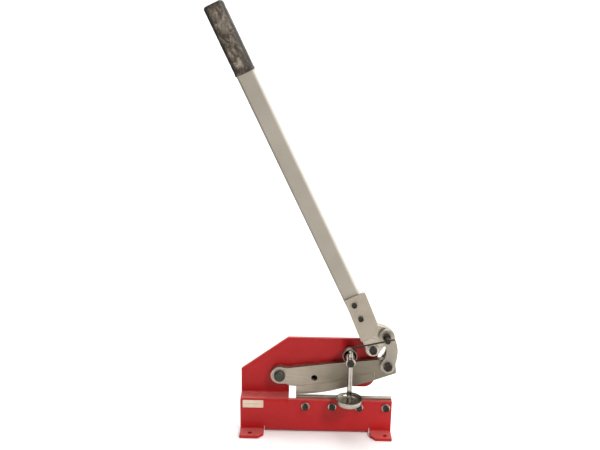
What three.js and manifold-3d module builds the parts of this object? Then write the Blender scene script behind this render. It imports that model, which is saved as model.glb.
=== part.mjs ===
// Hand-lever bench plate shear, 200 mm blade class.
// Millimetres, +Z up, +X to the right of the operator, +Y away from the operator.
// The base rests on Z = 0. The modelling frame has the front face of the frame
// plate on Y = 0 and the plate centred on X = 0; OFFSET_X and OFFSET_Y move the
// finished assembly so that its origin is the bottom centre of its outline.
import * as THREE from 'three';
import { mergeVertices } from 'three/addons/utils/BufferGeometryUtils.js';
import Module from 'manifold-3d';

const wasm = await Module();
wasm.setup();

// ---------------------------------------------------------------- dimensions
const OFFSET_X = 27.518;     // brings the outline's middle to X = 0
const OFFSET_Y = -13.0;     // brings the outline's middle to Y = 0
const GAP = 0.3;            // running gap between neighbouring pieces

const PLATE_T = 7;          // frame plate thickness
const PLATE_W = 315;        // frame plate length along X
const XL = -PLATE_W / 2, XR = PLATE_W / 2;
const TABLE_Z = 76;         // top edge of the front plate and of the joggle shelf
const UPPER_Y = 31.5;       // front face of the set-back upper plate
const UPPER_TOP = 201.5;      // top edge of the upper plate
const UPPER_LOW = 92;       // lower edge of the upper plate above the throat
const THROAT_X = -57;       // blind end of the throat slot
const BEND_RI = 3;          // inside bend radius of every fold
const FOOT_Y = -28;         // front edge of the two front feet
const FOOT_IN_L = -108, FOOT_IN_R = 113;
const TAB_Y = 75;           // back edge of the rear foot
const FOOT_HOLE_R = 4.5;

const LEVER_Y0 = 16.7, LEVER_Y1 = 30.7;      // lever plate, 14 mm
const LEVER_PIVOT = [-76.8, 121.6];
const HANDLE_PIVOT = [115, 185];
const UPPER_PIN = [141, 216.5];            // handle bracket to links
const LOWER_PIN = [146, 151.5];              // links to lever end
const BAR_HOLE = [-4.4, 117.8], BAR_HOLE_R = 6.5;
const BAR_RECESS_Y = 34.5;   // the hole ends in a 3 mm deep recess in the plate behind the lever

const BLADE_X0 = -42, BLADE_X1 = 157, BLADE_Y0 = 7.3, BLADE_Y1 = 16.3;
const BLADE_TOP = 80, BLADE_LOW = 46;
const BLADE_BOLT_X = [-22, 33.5, 89.5, 145], BLADE_BOLT_Z = 61.5;

const LINK_F0 = 8.5, LINK_F1 = 15.9;         // front link
const LINK_R0 = 31.5, LINK_R1 = 38.9;        // rear link
const LINK_END_U = 16.5, LINK_END_UR = 10, LINK_END_L = 15.5;

const LEAN = THREE.MathUtils.degToRad(25.75);   // handle leans back this far when parked
const TUBE_W = 35, TUBE = 32, TUBE_WALL = 2.5, TUBE_YC = 23.7;
const TUBE_END = [93.3, 244.9];              // tube's lower end, on its axis
const TUBE_LEN = 684.5, GRIP_LEN = 136.5, GRIP = 36.4, GRIP_W = 38.7;
const CHEEK_T = 5;

const STUD = [67, 176.5], STUD_R = 10, STUD_FRONT = -30;
const ROD_Y = -22, ROD_R = 5, ROD_Z0 = 82.9, ROD_Z1 = 198;
const CUP_R = 27, CUP_RIM = 94, CUP_LOW = 80;

// -------------------------------------------------------------------- colours
const COL = {
  red: 0xba2d2c, steel: 0x968c7b, link: 0xaaa096, tube: 0xb4a89a, grip: 0x3a3531,
  dark: 0x2c2b27, washer: 0xb9ada0, chrome: 0xc8c6c2, cup: 0x5f655c, label: 0xf4d8bd,
  blade: 0x8b8375, brass: 0xa88a4a,
};

// -------------------------------------------------------------------- helpers
const group = new THREE.Group();
group.position.set(OFFSET_X, OFFSET_Y, 0);

function mat(color, roughness, metalness) {
  return new THREE.MeshStandardMaterial({ color, roughness, metalness });
}
function add(name, geometry, color, roughness = 0.5, metalness = 0.6) {
  const mesh = new THREE.Mesh(geometry, mat(color, roughness, metalness));
  mesh.name = name;
  group.add(mesh);
  return mesh;
}
function weld(geo) {
  let g = geo.index ? geo : geo;
  g = g.clone();
  for (const k of Object.keys(g.attributes)) if (k !== 'position') g.deleteAttribute(k);
  return mergeVertices(g, 1e-4);
}
function solid(geo) {
  const g = weld(geo);
  return new wasm.Manifold(new wasm.Mesh({
    numProp: 3,
    vertProperties: new Float32Array(g.attributes.position.array),
    triVerts: new Uint32Array(g.index.array),
  }));
}
function geom(man) {
  const m = man.getMesh();
  const n = m.numProp;
  const count = m.vertProperties.length / n;
  const pos = new Float32Array(count * 3);
  for (let i = 0; i < count; i++) for (let k = 0; k < 3; k++) pos[i * 3 + k] = m.vertProperties[i * n + k];
  const g = new THREE.BufferGeometry();
  g.setAttribute('position', new THREE.BufferAttribute(pos, 3));
  g.setIndex(new THREE.BufferAttribute(new Uint32Array(m.triVerts), 1));
  const w = mergeVertices(g, 1e-5);
  w.computeVertexNormals();
  return w;
}
function cut(geo, ...tools) {
  let m = solid(geo);
  for (const t of tools) m = m.subtract(solid(t));
  return geom(m);
}
function join(...geos) {
  let m = solid(geos[0]);
  for (const g of geos.slice(1)) m = m.add(solid(g));
  return geom(m);
}
// outline in (X, Z), extruded from y0 to y1
function plateXZ(shape, y0, y1, curveSegments = 12) {
  const g = new THREE.ExtrudeGeometry(shape, { depth: y1 - y0, bevelEnabled: false, curveSegments });
  g.rotateX(Math.PI / 2);
  g.translate(0, y1, 0);
  if (!shape.bores) return g;
  return cut(g, ...shape.bores.map(([x, z, r]) => cylY(x, z, r, y0 - 1, y1 + 1, 28)));
}
// outline in (Y, Z), extruded from x0 to x1
function plateYZ(shape, x0, x1, curveSegments = 8) {
  const g = new THREE.ExtrudeGeometry(shape, { depth: x1 - x0, bevelEnabled: false, curveSegments });
  g.applyMatrix4(new THREE.Matrix4().makeBasis(
    new THREE.Vector3(0, 1, 0), new THREE.Vector3(0, 0, 1), new THREE.Vector3(1, 0, 0)));
  g.translate(x0, 0, 0);
  return g;
}
// outline in (X, Y), extruded from z0 to z1
function plateXY(shape, z0, z1, curveSegments = 10) {
  const g = new THREE.ExtrudeGeometry(shape, { depth: z1 - z0, bevelEnabled: false, curveSegments });
  g.translate(0, 0, z0);
  return g;
}
function poly(points) {
  const s = new THREE.Shape();
  s.moveTo(points[0][0], points[0][1]);
  for (const p of points.slice(1)) s.lineTo(p[0], p[1]);
  s.closePath();
  return s;
}
function holeXZ(shape, [x, z], r) {
  (shape.bores ??= []).push([x, z, r]);
}
function cylY(x, z, r, y0, y1, seg = 28) {
  const g = new THREE.CylinderGeometry(r, r, y1 - y0, seg);
  g.translate(x, (y0 + y1) / 2, z);
  return g;
}
function cylZ(x, y, r, z0, z1, seg = 28) {
  const g = new THREE.CylinderGeometry(r, r, z1 - z0, seg);
  g.rotateX(Math.PI / 2);
  g.translate(x, y, (z0 + z1) / 2);
  return g;
}
// body of revolution about a line along Y through (x, z); profile is [radius, y]
function turnY(x, z, profile, seg = 28) {
  const g = new THREE.LatheGeometry(profile.map(([r, y]) => new THREE.Vector2(r, y)), seg);
  g.translate(x, 0, z);
  return g;
}
function turnZ(x, y, profile, seg = 32) {
  const g = new THREE.LatheGeometry(profile.map(([r, z]) => new THREE.Vector2(r, z)), seg);
  g.rotateX(Math.PI / 2);
  g.translate(x, y, 0);
  return g;
}
// washer with its faces on y0 and y1
function washer(x, z, ri, ro, y0, y1, seg = 28) {
  return turnY(x, z, [[ri, y0], [ro, y0], [ro, y1], [ri, y1], [ri, y0]], seg);
}
// hexagon across flats af, on the line through (x, z), from y0 to y1, turned by rot
function hexY(x, z, af, y0, y1, rot = 0) {
  const r = af / Math.sqrt(3);
  const g = new THREE.CylinderGeometry(r, r, y1 - y0, 6);
  g.rotateY(rot);
  g.translate(x, (y0 + y1) / 2, z);
  return g;
}
// hexagon-head bolt: head from yh0 to yh1, plain shank on to y1
function bolt(x, z, af, r, yh0, yh1, y1, rot = 0) {
  return join(hexY(x, z, af, yh0, yh1, rot), cylY(x, z, r, yh1 - 1, y1, 20));
}
function nut(x, z, af, ri, y0, y1, rot = 0) {
  return cut(hexY(x, z, af, y0, y1, rot), cylY(x, z, ri, y0 - 1, y1 + 1, 20));
}
// handle frame: local z along the handle, local x across it, local y = depth
function toHandle(g, base = TUBE_END) {
  g.rotateY(-LEAN);
  g.translate(base[0], TUBE_YC, base[1]);
  return g;
}
function roundedRect(w, h, r) {
  const s = new THREE.Shape();
  const a = w / 2, b = h / 2;
  s.moveTo(-a + r, -b);
  s.lineTo(a - r, -b); s.absarc(a - r, -b + r, r, -Math.PI / 2, 0, false);
  s.lineTo(a, b - r); s.absarc(a - r, b - r, r, 0, Math.PI / 2, false);
  s.lineTo(-a + r, b); s.absarc(-a + r, b - r, r, Math.PI / 2, Math.PI, false);
  s.lineTo(-a, -b + r); s.absarc(-a + r, -b + r, r, Math.PI, Math.PI * 1.5, false);
  return s;
}

// ---------------------------------------------------------------- frame plate
// One folded blank: front plate, joggle shelf at the blind end of the throat,
// set-back upper plate, two feet folded forwards and one wide foot folded back.
{
  const t = PLATE_T, ri = BEND_RI, ro = BEND_RI + PLATE_T;
  // joggle section, outline in (Y, Z)
  const j = new THREE.Shape();
  const zs = TABLE_Z - t;                       // underside of the shelf
  j.moveTo(0, 30);
  j.lineTo(0, TABLE_Z - ro);
  j.absarc(ro, TABLE_Z - ro, ro, Math.PI, Math.PI / 2, true);
  j.lineTo(UPPER_Y - ri, TABLE_Z);
  j.absarc(UPPER_Y - ri, TABLE_Z + ri, ri, -Math.PI / 2, 0, false);
  j.lineTo(UPPER_Y, 112);
  j.lineTo(UPPER_Y + t, 112);
  j.lineTo(UPPER_Y + t, TABLE_Z + ri);
  j.absarc(UPPER_Y - ri, TABLE_Z + ri, ro, 0, -Math.PI / 2, true);
  j.lineTo(ro, zs);
  j.absarc(ro, TABLE_Z - ro, ri, Math.PI / 2, Math.PI, false);
  j.lineTo(t, 30);
  j.closePath();
  const joggle = plateYZ(j, XL, THROAT_X, 6);

  // front plate with the blade bolt holes
  const f = poly([[XL, ro], [XR, ro], [XR, TABLE_Z], [THROAT_X - 1, TABLE_Z], [THROAT_X - 1, 50], [XL, 50]]);
  const front = plateXZ(f, 0, t);

  // upper plate
  const u = new THREE.Shape();
  u.moveTo(XL, 100);
  u.lineTo(THROAT_X - 1, 100);
  u.lineTo(THROAT_X - 1, UPPER_LOW);
  u.lineTo(99, UPPER_LOW);
  u.absarc(99, UPPER_LOW + 23, 23, -Math.PI / 2, 0, false);
  u.lineTo(126, 150);
  u.lineTo(129, HANDLE_PIVOT[1]);
  u.absarc(HANDLE_PIVOT[0], HANDLE_PIVOT[1], 14, 0, Math.PI * 0.44, false);
  u.lineTo(104, UPPER_TOP);
  u.lineTo(-59.5, UPPER_TOP);
  u.lineTo(XL, 128);
  u.closePath();
  const upper = plateXZ(u, UPPER_Y, UPPER_Y + t, 8);

  // feet folded forwards
  const ff = new THREE.Shape();
  ff.moveTo(0, 24);
  ff.lineTo(0, ro);
  ff.absarc(-ri, ro, ri, 0, -Math.PI / 2, true);
  ff.lineTo(FOOT_Y, t);
  ff.lineTo(FOOT_Y, 0);
  ff.lineTo(-ri, 0);
  ff.absarc(-ri, ro, ro, -Math.PI / 2, 0, false);
  ff.lineTo(t, 24);
  ff.closePath();
  const footL = plateYZ(ff, XL, FOOT_IN_L, 6);
  const footR = plateYZ(ff, FOOT_IN_R, XR, 6);
  // wide foot folded back
  const fb = new THREE.Shape();
  fb.moveTo(0, 24);
  fb.lineTo(t, 24);
  fb.lineTo(t, ro);
  fb.absarc(ro, ro, ri, Math.PI, Math.PI * 1.5, false);
  fb.lineTo(TAB_Y, t);
  fb.lineTo(TAB_Y, 0);
  fb.lineTo(ro, 0);
  fb.absarc(ro, ro, ro, Math.PI * 1.5, Math.PI, true);
  fb.closePath();
  const tab = plateYZ(fb, FOOT_IN_L + 1.5, FOOT_IN_R - 1.5, 6);

  let m = solid(joggle).add(solid(front)).add(solid(upper)).add(solid(footL)).add(solid(footR)).add(solid(tab));
  const cuts = [];
  // relief saw cuts between the feet stop a little above the folds
  cuts.push(plateXZ(poly([[FOOT_IN_L, -1], [FOOT_IN_L + 1.5, -1], [FOOT_IN_L + 1.5, 13], [FOOT_IN_L, 13]]), -40, 90));
  cuts.push(plateXZ(poly([[FOOT_IN_R - 1.5, -1], [FOOT_IN_R, -1], [FOOT_IN_R, 13], [FOOT_IN_R - 1.5, 13]]), -40, 90));
  // chamfered inner corners of the front feet
  cuts.push(plateXY(poly([[FOOT_IN_L - 12, FOOT_Y - 1], [FOOT_IN_L + 1, FOOT_Y - 1], [FOOT_IN_L + 1, FOOT_Y + 14], [FOOT_IN_L, FOOT_Y + 12]]), -1, 9));
  cuts.push(plateXY(poly([[FOOT_IN_R - 1, FOOT_Y - 1], [FOOT_IN_R + 12, FOOT_Y - 1], [FOOT_IN_R, FOOT_Y + 12], [FOOT_IN_R - 1, FOOT_Y + 14]]), -1, 9));
  // chamfered back corners of the rear foot
  cuts.push(plateXY(poly([[FOOT_IN_L + 1, TAB_Y - 12], [FOOT_IN_L + 14, TAB_Y + 1], [FOOT_IN_L + 1, TAB_Y + 1]]), -1, 9));
  cuts.push(plateXY(poly([[FOOT_IN_R - 1, TAB_Y - 12], [FOOT_IN_R - 1, TAB_Y + 1], [FOOT_IN_R - 14, TAB_Y + 1]]), -1, 9));
  for (const [x, y] of [[-136.5, -17], [143.5, -17], [-70, 52], [75, 52]]) cuts.push(cylZ(x, y, FOOT_HOLE_R, -1, 9, 24));
  for (const x of BLADE_BOLT_X) cuts.push(cylY(x, BLADE_BOLT_Z, 4 + GAP, -1, 9, 20));
  cuts.push(cylY(LEVER_PIVOT[0], LEVER_PIVOT[1], 8 + GAP, 30, 40, 28));
  cuts.push(cylY(HANDLE_PIVOT[0], HANDLE_PIVOT[1], 6 + GAP, 30, 40, 24));
  cuts.push(cylY(STUD[0], STUD[1], 6 + GAP, 30, 40, 24));
  cuts.push(cylY(BAR_HOLE[0], BAR_HOLE[1], BAR_HOLE_R + 0.5, 30, BAR_RECESS_Y, 24));
  for (const c of cuts) m = m.subtract(solid(c));
  add('frame_plate', geom(m), COL.red, 0.4, 0.2);
}

// plain sticker on the front plate
add('front_label', plateXZ(roundedRect(43, 17, 1.2), -0.7, -0.3, 4).translate(-131, 0, 64.5), COL.label, 0.6, 0.0);

// ---------------------------------------------------------------- lower blade
{
  const outline = poly([[BLADE_X0, BLADE_LOW], [BLADE_X1, BLADE_LOW], [BLADE_X1, BLADE_TOP], [BLADE_X0, BLADE_TOP]]);
  for (const x of BLADE_BOLT_X) holeXZ(outline, [x, BLADE_BOLT_Z], 4 + GAP);
  add('lower_blade', plateXZ(outline, BLADE_Y0, BLADE_Y1, 10), COL.blade, 0.35, 0.9);
  BLADE_BOLT_X.forEach((x, i) => {
    add(`blade_washer_${i + 1}`, washer(x, BLADE_BOLT_Z, 4 + GAP, 8.6, -2, -GAP, 24), COL.washer, 0.35, 0.9);
    add(`blade_bolt_${i + 1}`, bolt(x, BLADE_BOLT_Z, 12.5, 4, -7.6, -2 - GAP, 15.9, i * 0.4), COL.dark, 0.45, 0.8);
  });
}

// --------------------------------------------------------- blade lever + blade
// lower edge of the lever, swept so that the cut closes from left to right
const EDGE = [[-42, 79.7], [-25, 80.6], [-8.5, 82.4], [15, 85.8], [31, 89.3], [47, 93.7], [64, 98.3], [76, 101.6], [92, 106.2], [109, 111]];
const SEAM_H = 21;
{
  const rb = 18.6, [px, pz] = LEVER_PIVOT;
  const a0 = THREE.MathUtils.degToRad(62), a1 = THREE.MathUtils.degToRad(268);
  const full = new THREE.Shape();
  full.moveTo(px + rb * Math.cos(a0), pz + rb * Math.sin(a0));
  full.absarc(px, pz, rb, a0, a1, false);
  full.lineTo(-62, 103);
  full.lineTo(-56, 99);
  full.lineTo(-42, 98);
  for (const p of EDGE) full.lineTo(p[0], p[1]);
  full.lineTo(163, 131.5);
  full.quadraticCurveTo(165, 132.4, 164.8, 134.5);
  full.lineTo(163.2, 151);
  full.absarc(148.5, 150.5, 14.7, 0.04, Math.PI * 0.5, false);
  full.lineTo(139.6, 163.2);
  full.lineTo(90, 157.6);
  full.lineTo(38, 151.4);
  full.lineTo(-24, 143.4);
  full.lineTo(-58, 138.6);
  full.closePath();
  holeXZ(full, LEVER_PIVOT, 10.5 + GAP);
  holeXZ(full, BAR_HOLE, BAR_HOLE_R);
  holeXZ(full, LOWER_PIN, 10);
  const body = plateXZ(full, LEVER_Y0, LEVER_Y1, 14);
  // rebate for the blade in the front lower edge
  const up = [[125, EDGE[9][1] + SEAM_H + 3.4], [109, EDGE[9][1] + SEAM_H - 1.2], ...EDGE.slice(1, -1).reverse().map(([x, z]) => [x, z + SEAM_H]), [-43, EDGE[0][1] + SEAM_H - 1.6]];
  const rebate = plateXZ(poly([[-43, 70], [119 + GAP, 90], [119 + GAP, EDGE[9][1] + SEAM_H + 1.5], ...up.slice(1)]), LEVER_Y0 - 1, LEVER_Y0 + 7.3, 4);
  const screws = [[-20, 93], [24, 98], [66, 109], [100, 120]];
  const screwHoles = screws.map(([x, z]) => turnY(x, z, [[0, 23], [3.3, 23], [3.3, 26.6], [6.6, 26.6], [6.6, 31.5], [0, 31.5]], 20));
  add('blade_lever', cut(body, rebate, ...screwHoles), COL.steel, 0.4, 0.85);
  // the blade strip
  const b = [];
  for (const p of EDGE) b.push(p);
  b.push([119, 113.6]);
  b.push([119, EDGE[9][1] + SEAM_H + 1.2]);
  b.push([109, EDGE[9][1] + SEAM_H - 1.2 - GAP]);
  for (const [x, z] of EDGE.slice(1, -1).reverse()) b.push([x, z + SEAM_H - GAP]);
  b.push([-42, EDGE[0][1] + SEAM_H - 1.9]);
  const blade = poly(b);
  const bg = plateXZ(blade, LEVER_Y0, LEVER_Y0 + 7, 4);
  const seats = screws.map(([x, z]) => cylY(x, z, 3 + GAP, 19.2, 25, 18));
  // keep the strip inside the rebate
  add('upper_blade', cut(bg, ...seats), COL.blade, 0.35, 0.9);
  screws.forEach(([x, z], i) => add(`upper_blade_screw_${i + 1}`,
    turnY(x, z, [[0, 19.6], [3, 19.6], [3, 26.9], [6.2, 26.9], [6.2, 30.3], [0, 30.3]], 18), COL.dark, 0.45, 0.8));
  add('lever_bush', washer(px, pz, 8 + GAP, 10.5, LEVER_Y0, LEVER_Y1, 28), COL.brass, 0.4, 0.9);
}
add('lever_pivot_pin', turnY(LEVER_PIVOT[0], LEVER_PIVOT[1],
  [[0, 8.6], [8.5, 8.8], [10.9, 10], [11.6, 12], [11.6, 16.3], [8, 16.3], [8, 50.5], [7, 51.5], [0, 51.5]], 32), COL.dark, 0.4, 0.8);
add('lever_pivot_washer', washer(LEVER_PIVOT[0], LEVER_PIVOT[1], 8 + GAP, 15, 38.8, 41, 28), COL.washer, 0.35, 0.9);
add('lever_pivot_nut', nut(LEVER_PIVOT[0], LEVER_PIVOT[1], 24, 8 + GAP, 41.3, 50, 0.2), COL.dark, 0.45, 0.8);

// ---------------------------------------------------------------------- links
// two C-shaped links, waist bowed to the right so that they clear the nose
function linkShape(ru) {
  const s = new THREE.Shape();
  const [ux, uz] = UPPER_PIN, [lx, lz] = LOWER_PIN;
  const rl = LINK_END_L;
  const d = THREE.MathUtils.degToRad;
  s.absarc(ux, uz, ru, d(352), d(238), false);
  s.quadraticCurveTo(141.6, 193, 142.5, 182.5);
  s.quadraticCurveTo(142.6, 171, 134.6, 163.2);
  s.absarc(lx, lz, rl, d(135), d(372), false);
  s.quadraticCurveTo(164.8, 170, 165.1, 184);
  s.quadraticCurveTo(164.6, 199, ux + ru * Math.cos(d(352)), uz + ru * Math.sin(d(352)));
  s.closePath();
  holeXZ(s, UPPER_PIN, 5 + GAP);
  holeXZ(s, LOWER_PIN, 6 + GAP);
  return s;
}
add('link_front', plateXZ(linkShape(LINK_END_U), LINK_F0, LINK_F1, 12), COL.link, 0.4, 0.85);
add('link_rear', plateXZ(linkShape(LINK_END_UR), LINK_R0, LINK_R1, 12), COL.link, 0.4, 0.85);
add('lower_link_bolt', bolt(LOWER_PIN[0], LOWER_PIN[1], 16.5, 6, 1.2, 8.2, 49, 0.3), COL.dark, 0.45, 0.8);
add('lower_link_nut', nut(LOWER_PIN[0], LOWER_PIN[1], 17, 6 + GAP, 39.2, 47, 0.1), COL.dark, 0.45, 0.8);

// ------------------------------------------------------------- handle bracket
const across = ([bx, bz], s, a) => [bx + s * Math.cos(LEAN) + -a * Math.sin(LEAN), bz + s * Math.sin(LEAN) + a * Math.cos(LEAN)];
const notch = s => { s.quadraticCurveTo(121.6, 244, 118.6, 239); s.quadraticCurveTo(116, 232, 118.6, 222.8); };
function cheekShape() {
  const s = new THREE.Shape();
  s.moveTo(52.2, 296.8);
  s.lineTo(88, 314.3);
  s.quadraticCurveTo(92.5, 315.6, 94, 311.6);
  s.lineTo(119.2, 251.5);
  notch(s);
  s.lineTo(89, 208.4);
  s.lineTo(79, 231.4);
  s.lineTo(69.4, 254);
  s.closePath();
  return s;
}
const CHEEK_BOLTS = [across(TUBE_END, -0.5, 47), across(TUBE_END, -0.5, 15)];
{
  const sh = cheekShape();
  for (const b of CHEEK_BOLTS) holeXZ(sh, b, 3 + GAP);
  // the rear cheek is only as wide as the tube above the waist
  const rh = new THREE.Shape();
  rh.moveTo(52.2, 296.8);
  rh.lineTo(...across(TUBE_END, 15.5, 64));
  rh.lineTo(...across(TUBE_END, 17.5, 60));
  rh.lineTo(...across(TUBE_END, 17.5, 30));
  rh.lineTo(...across(TUBE_END, 20, 14));
  rh.lineTo(...across(TUBE_END, 20.5, -6));
  rh.lineTo(112, 238);
  rh.lineTo(110, 225);
  rh.lineTo(111, 219.2);
  rh.lineTo(89, 208.4);
  rh.lineTo(79, 231.4);
  rh.lineTo(69.4, 254);
  rh.closePath();
  for (const b of CHEEK_BOLTS) holeXZ(rh, b, 3 + GAP);
  add('bracket_cheek_front', plateXZ(sh, TUBE_YC - TUBE / 2 - GAP - CHEEK_T, TUBE_YC - TUBE / 2 - GAP, 8), COL.link, 0.4, 0.85);
  add('bracket_cheek_rear', plateXZ(rh, TUBE_YC + TUBE / 2 + GAP, TUBE_YC + TUBE / 2 + GAP + CHEEK_T, 8), COL.link, 0.4, 0.85);
  const sp = new THREE.Shape();
  sp.moveTo(...across(TUBE_END, -15.6, -1));
  sp.lineTo(...across(TUBE_END, 25.5, -1));
  sp.lineTo(119, 250.6);
  notch(sp);
  sp.lineTo(89, 208.4);
  sp.lineTo(79, 231.4);
  sp.closePath();
  add('spacer_plate_front', plateXZ(sp, TUBE_YC - TUBE / 2, LEVER_Y0 - GAP, 8), COL.link, 0.4, 0.85);
  const sr = new THREE.Shape();
  sr.moveTo(...across(TUBE_END, -15.6, -1));
  sr.lineTo(...across(TUBE_END, 20, -1));
  sr.lineTo(112, 238);
  sr.lineTo(110, 225);
  sr.lineTo(111, 219.2);
  sr.lineTo(89, 208.4);
  sr.lineTo(79, 231.4);
  sr.closePath();
  add('spacer_plate_rear', plateXZ(sr, LEVER_Y1 + GAP, TUBE_YC + TUBE / 2, 8), COL.link, 0.4, 0.85);
}
{
  const s = new THREE.Shape();
  const d = THREE.MathUtils.degToRad;
  s.moveTo(...across(TUBE_END, -15.6, -1));
  s.lineTo(87, 212);
  s.lineTo(95, 197);
  s.lineTo(98.2, 189);
  s.absarc(HANDLE_PIVOT[0], HANDLE_PIVOT[1], 15.5, d(165), d(325), false);
  s.lineTo(136.4, 190.5);
  s.quadraticCurveTo(142, 195.5, UPPER_PIN[0] + 13.5 * Math.cos(d(315)), UPPER_PIN[1] + 13.5 * Math.sin(d(315)));
  s.absarc(UPPER_PIN[0], UPPER_PIN[1], 13.5, d(315), d(410), false);
  s.quadraticCurveTo(137, 236.5, 126, 238);
  s.quadraticCurveTo(120.6, 239.2, 119, 245);
  s.lineTo(...across(TUBE_END, 23.6, -1));
  s.closePath();
  holeXZ(s, HANDLE_PIVOT, 6 + GAP);
  holeXZ(s, UPPER_PIN, 5 + GAP);
  add('cam_plate', plateXZ(s, LEVER_Y0, LEVER_Y1, 10), COL.steel, 0.4, 0.85);
}
{
  const outer = roundedRect(TUBE_W, TUBE, 5);
  const inner = roundedRect(TUBE_W - 2 * TUBE_WALL, TUBE - 2 * TUBE_WALL, 2.5);
  outer.holes.push(new THREE.Path(inner.getPoints(4).reverse()));
  let g = new THREE.ExtrudeGeometry(outer, { depth: TUBE_LEN - 6, bevelEnabled: false, curveSegments: 4 });
  g = toHandle(g);
  add('handle_tube', cut(g, ...CHEEK_BOLTS.map(([x, z]) => cylY(x, z, 3 + GAP, 0, 60, 18))), COL.tube, 0.45, 0.3);
}
{
  // closed sleeve with a domed end
  const base = TUBE_LEN - GRIP_LEN;
  const parts = [];
  const body = new THREE.ExtrudeGeometry(roundedRect(GRIP_W, GRIP, 9), { depth: GRIP_LEN - 9, bevelEnabled: false, curveSegments: 6 });
  body.translate(0, 0, base);
  parts.push(solid(body));
  const steps = [[0, 9], [2.6, 7.2], [5.2, 4.2], [7.6, 0.6]];
  for (let i = 1; i < 4; i++) {
    const inset = [0, 1.6, 4.4, 8.2][i];
    const cap = new THREE.ExtrudeGeometry(roundedRect(GRIP_W - 2 * inset, GRIP - 2 * inset, Math.max(2.5, 9 - inset)),
      { depth: GRIP_LEN - 9 + steps[i][0] * 9 / 7.6 - 20, bevelEnabled: false, curveSegments: 6 });
    cap.translate(0, 0, base + 20);
    parts.push(solid(cap));
  }
  let m = parts[0];
  for (const p of parts.slice(1)) m = m.add(p);
  const bore = new THREE.ExtrudeGeometry(roundedRect(TUBE_W + 2 * GAP, TUBE + 2 * GAP, 5), { depth: GRIP_LEN - 5, bevelEnabled: false, curveSegments: 4 });
  bore.translate(0, 0, base - 1);
  m = m.subtract(solid(bore));
  add('handle_grip', toHandle(geom(m)), COL.grip, 0.55, 0.0);
}
CHEEK_BOLTS.forEach(([x, z], i) => {
  const y0 = TUBE_YC - TUBE / 2 - GAP - CHEEK_T - GAP, y1 = TUBE_YC + TUBE / 2 + GAP + CHEEK_T + GAP;
  add(`cheek_bolt_${i + 1}`, bolt(x, z, 10, 3, y0 - 4.2, y0, y1 + 7, 0.3 + i * 0.5), COL.dark, 0.45, 0.8);
  add(`cheek_nut_${i + 1}`, nut(x, z, 10, 3 + GAP, y1, y1 + 5.2, 0.6), COL.dark, 0.45, 0.8);
});

// handle pivot, fixed in the ear of the upper plate
add('handle_pivot_washer', washer(HANDLE_PIVOT[0], HANDLE_PIVOT[1], 6 + GAP, 11.5, 14.2, 16.4, 28), COL.washer, 0.35, 0.9);
add('handle_pivot_bolt', bolt(HANDLE_PIVOT[0], HANDLE_PIVOT[1], 15, 6, 6.8, 13.9, 51, 0.25), COL.dark, 0.45, 0.8);
add('handle_pivot_washer_rear', washer(HANDLE_PIVOT[0], HANDLE_PIVOT[1], 6 + GAP, 11.5, 38.8, 41, 28), COL.washer, 0.35, 0.9);
add('handle_pivot_nut', nut(HANDLE_PIVOT[0], HANDLE_PIVOT[1], 17, 6 + GAP, 41.3, 49.5, 0.1), COL.dark, 0.45, 0.8);

// upper link bolt, drilled through its head for the stop rod
const STOP_A = new THREE.Vector3(71.5, 3, 193.3), STOP_C = new THREE.Vector3(UPPER_PIN[0], -9.5, UPPER_PIN[1]);
{
  const dir = STOP_C.clone().sub(STOP_A).normalize();
  const end = STOP_C.clone().addScaledVector(dir, 15);
  const mid = STOP_A.clone().add(end).multiplyScalar(0.5);
  const q = new THREE.Quaternion().setFromUnitVectors(new THREE.Vector3(0, 1, 0), dir);
  const rodG = (r, extra, seg) => {
    const g = new THREE.CylinderGeometry(r, r, STOP_A.distanceTo(end) + extra, seg);
    g.applyQuaternion(q); g.translate(mid.x, mid.y, mid.z); return g;
  };
  const head = turnY(UPPER_PIN[0], UPPER_PIN[1], [[0, -14.5], [5, -14.5], [5.9, -13.6], [5.9, 1], [8, 1], [8, 8.2], [5, 8.2], [5, 39.2], [4, 39.2], [4, 45.5], [0, 45.5]], 24);
  add('upper_link_bolt', cut(head, rodG(1.75 + GAP, 20, 14)), COL.dark, 0.45, 0.8);
  add('stop_rod', rodG(1.75, 0, 12), COL.washer, 0.35, 0.9);
}
add('upper_link_nut', nut(UPPER_PIN[0], UPPER_PIN[1], 13, 4 + GAP, 39.5, 44.5, 0.4), COL.dark, 0.45, 0.8);

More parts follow.
